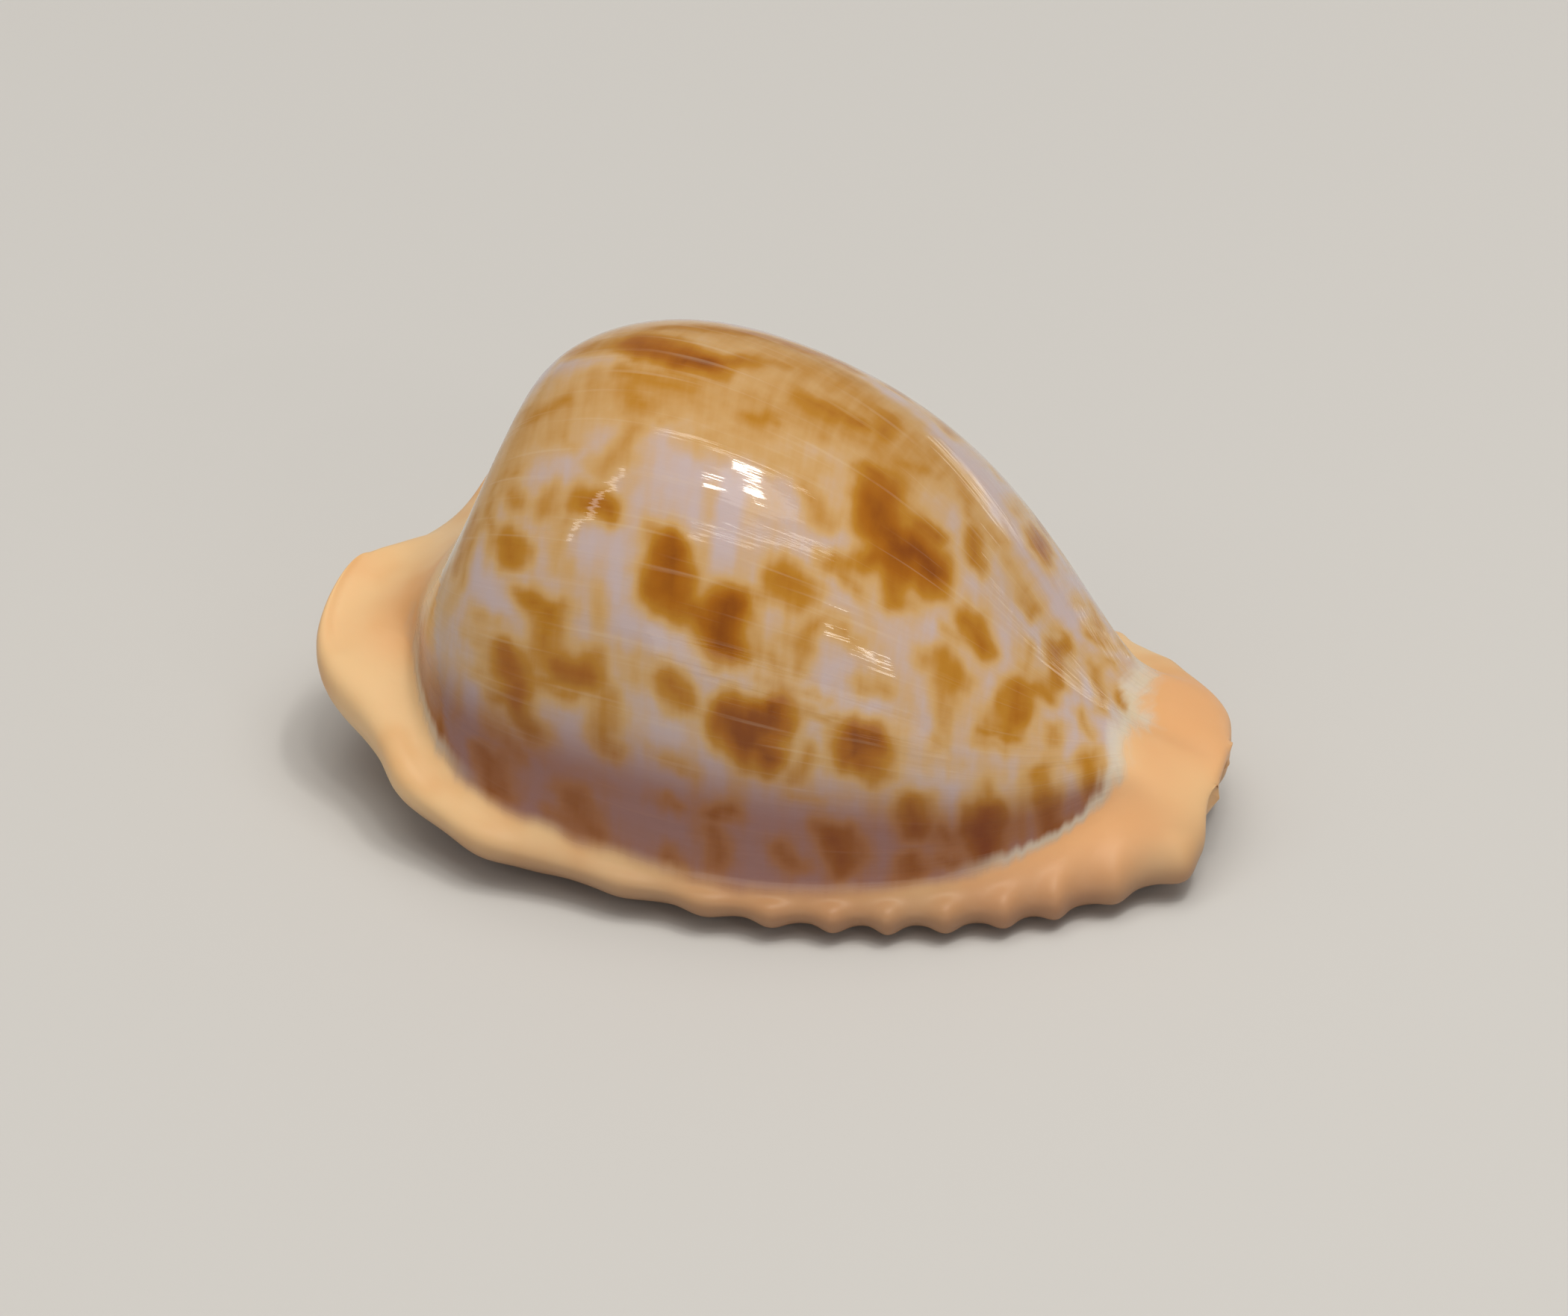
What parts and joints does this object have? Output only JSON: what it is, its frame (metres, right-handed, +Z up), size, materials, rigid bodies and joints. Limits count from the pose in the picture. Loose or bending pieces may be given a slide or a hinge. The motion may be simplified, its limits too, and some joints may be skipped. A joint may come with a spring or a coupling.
{
  "type": "cowrie shell",
  "caption": "Humped, glossy cowrie shell with brown blotches, a raised cream margin drawn into two canals, and a long toothed slit along its flat base.",
  "frame": {"origin": "centre of the shell's outline seen from above, on the surface it rests on", "axes": "+X towards the front, siphon end, along the shell's length; +Z up from the base to the back; -Y on the outer lip's side"},
  "size_m": [0.0312, 0.0204, 0.0164],
  "materials": {
    "shell": "gloss"
  },
  "bodies": {
    "root": {"shell": "shell"}
  },
  "joints": []
}
